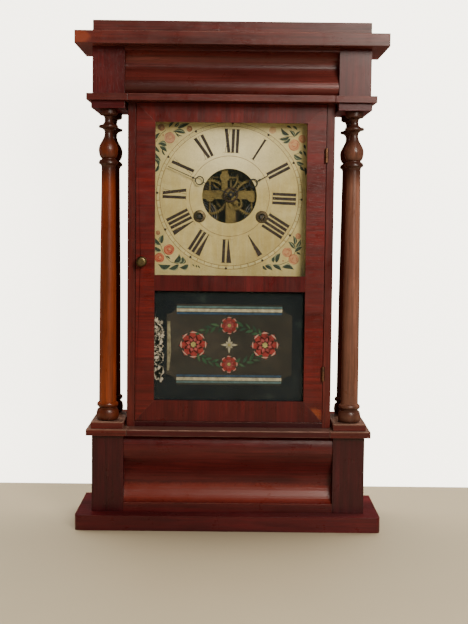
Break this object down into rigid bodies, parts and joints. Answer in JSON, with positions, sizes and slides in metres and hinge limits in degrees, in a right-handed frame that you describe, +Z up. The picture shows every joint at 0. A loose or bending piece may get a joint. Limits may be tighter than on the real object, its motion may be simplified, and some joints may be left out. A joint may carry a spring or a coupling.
{
  "type": "ogee shelf clock",
  "caption": "Wooden shelf clock with ogee frieze and base, turned columns, a hinged glazed door over a painted dial and a painted tablet, and a brass striking movement.",
  "frame": {"origin": "centre of the base board's underside, midway between the back and the front of the clock", "axes": "+X to the viewer's right, the dial faces -Y, +Z up"},
  "size_m": [0.385, 0.126, 0.635],
  "materials": {
    "mahogany": "old polished mahogany veneer, satin",
    "dark_mahogany": "darker mahogany veneer, satin",
    "column_wood": "turned and stained hardwood, satin",
    "pine": "aged bare pine, matt",
    "clear_glass": "old window glass, slightly wavy",
    "painted_glass": "glass painted on its back, dark border and a garland",
    "dial_paint": "cream painted sheet metal, yellowed, with plain numerals and corner flowers",
    "brass": "aged brass, satin with tarnish",
    "dark_brass": "heavily tarnished brass",
    "steel": "aged steel",
    "blued_steel": "black hands, satin",
    "iron": "black iron block"
  },
  "bodies": {
    "case": {"base_board": "mahogany", "base_blocks": "dark_mahogany", "base_ogee": "mahogany", "shelf_ends": "mahogany", "shelf_centre": "mahogany", "column_plinths": "dark_mahogany", "column_front_left": "column_wood", "column_front_right": "column_wood", "column_rear_left": "column_wood", "column_rear_right": "column_wood", "column_caps": "dark_mahogany", "band_ends": "mahogany", "band_centre": "mahogany", "frieze_blocks": "dark_mahogany", "frieze_ogee": "mahogany", "cornice_board": "mahogany", "cap_board": "mahogany", "case_side_left": "mahogany", "case_side_right": "mahogany", "backboard": "pine", "case_bottom_rail": "mahogany", "dial_strips": "pine", "movement_blocks": "pine", "hinge_case_halves": "dark_brass", "dial_plate": "dial_paint", "winding_grommets": "brass", "screws": "steel", "front_plate": "brass", "back_plate": "brass", "plate_pillars": "brass", "gong": "steel", "gong_block": "iron", "mainsprings": "steel"},
    "door": {"door_stile_left": "mahogany", "door_stile_right": "mahogany", "door_top_rail": "mahogany", "door_middle_rail": "mahogany", "door_bottom_rail": "mahogany", "dial_glass": "clear_glass", "tablet_glass": "painted_glass", "glazing_strips": "dark_mahogany", "hinge_door_halves": "dark_brass"},
    "latch": {"door_knob": "dark_brass", "latch_tongue": "brass"},
    "minute_group": {"minute_hand": "blued_steel", "centre_arbor": "brass"},
    "hour_group": {"hour_hand": "blued_steel", "hour_wheel": "brass"},
    "motion_wheel": {"minute_wheel": "brass"},
    "time_great": {"time_great_wheel": "brass"},
    "time_second": {"time_second_wheel": "brass"},
    "third": {"third_wheel": "brass"},
    "escape": {"escape_wheel": "brass"},
    "verge_group": {"verge": "steel"},
    "pendulum": {"pendulum_rod": "steel", "pendulum_bob": "brass"},
    "strike_great": {"strike_great_wheel": "brass"},
    "strike_second": {"strike_second_wheel": "brass"},
    "fly": {"strike_fly": "brass"},
    "hammer_group": {"hammer": "steel"}
  },
  "joints": [
    {"name": "door_swing", "type": "hinge", "parent": "case", "child": "door", "pos_m": [0.1202, -0.022, 0.334], "axis": [0, 0, 1], "range_deg": [0, 110]},
    {"name": "knob_turn", "type": "hinge", "parent": "door", "child": "latch", "pos_m": [-0.11187, -0.012, 0.3367], "axis": [0, -1, 0], "range_deg": [0, 90]},
    {"name": "escape_spin", "type": "hinge", "parent": "case", "child": "escape", "pos_m": [0, 0.023, 0.46339], "axis": [0, 1, 0], "continuous": true},
    {"name": "third_spin", "type": "hinge", "parent": "case", "child": "third", "pos_m": [-0.00821, 0.023, 0.44515], "axis": [0, 1, 0], "continuous": true},
    {"name": "minute_hand_turn", "type": "hinge", "parent": "case", "child": "minute_group", "pos_m": [0, 0.023, 0.4226], "axis": [0, 1, 0], "continuous": true},
    {"name": "hour_hand_turn", "type": "hinge", "parent": "case", "child": "hour_group", "pos_m": [0, 0.023, 0.4226], "axis": [0, 1, 0], "continuous": true},
    {"name": "minute_wheel_spin", "type": "hinge", "parent": "case", "child": "motion_wheel", "pos_m": [0.006, 0.023, 0.41221], "axis": [0, 1, 0], "continuous": true},
    {"name": "time_second_spin", "type": "hinge", "parent": "case", "child": "time_second", "pos_m": [0.027, 0.023, 0.4196], "axis": [0, 1, 0], "continuous": true},
    {"name": "time_great_spin", "type": "hinge", "parent": "case", "child": "time_great", "pos_m": [0.04, 0.023, 0.3946], "axis": [0, 1, 0], "continuous": true},
    {"name": "pendulum_swing", "type": "hinge", "parent": "case", "child": "pendulum", "pos_m": [0, 0.023, 0.48689], "axis": [0, 1, 0], "range_deg": [-3.5, 3.5]},
    {"name": "verge_rock", "type": "hinge", "parent": "case", "child": "verge_group", "pos_m": [0, 0.023, 0.48689], "axis": [0, 1, 0], "range_deg": [-3.5, 3.5]},
    {"name": "fly_spin", "type": "hinge", "parent": "case", "child": "fly", "pos_m": [-0.04058, 0.023, 0.44313], "axis": [0, 1, 0], "continuous": true},
    {"name": "strike_second_spin", "type": "hinge", "parent": "case", "child": "strike_second", "pos_m": [-0.027, 0.023, 0.4196], "axis": [0, 1, 0], "continuous": true},
    {"name": "strike_great_spin", "type": "hinge", "parent": "case", "child": "strike_great", "pos_m": [-0.04, 0.023, 0.3946], "axis": [0, 1, 0], "continuous": true},
    {"name": "hammer_lift", "type": "hinge", "parent": "case", "child": "hammer_group", "pos_m": [-0.055, 0.023, 0.4246], "axis": [0, 1, 0], "range_deg": [0, 4]}
  ],
  "couplings": [
    {"joint": "time_second_spin", "follows": "time_great_spin", "ratio": -6},
    {"joint": "minute_hand_turn", "follows": "time_great_spin", "ratio": 36},
    {"joint": "hour_hand_turn", "follows": "time_great_spin", "ratio": 3},
    {"joint": "minute_wheel_spin", "follows": "time_great_spin", "ratio": -12},
    {"joint": "third_spin", "follows": "time_great_spin", "ratio": -324},
    {"joint": "escape_spin", "follows": "time_great_spin", "ratio": 2916},
    {"joint": "verge_rock", "follows": "pendulum_swing", "ratio": 1},
    {"joint": "strike_second_spin", "follows": "strike_great_spin", "ratio": -6},
    {"joint": "fly_spin", "follows": "strike_great_spin", "ratio": 36}
  ]
}
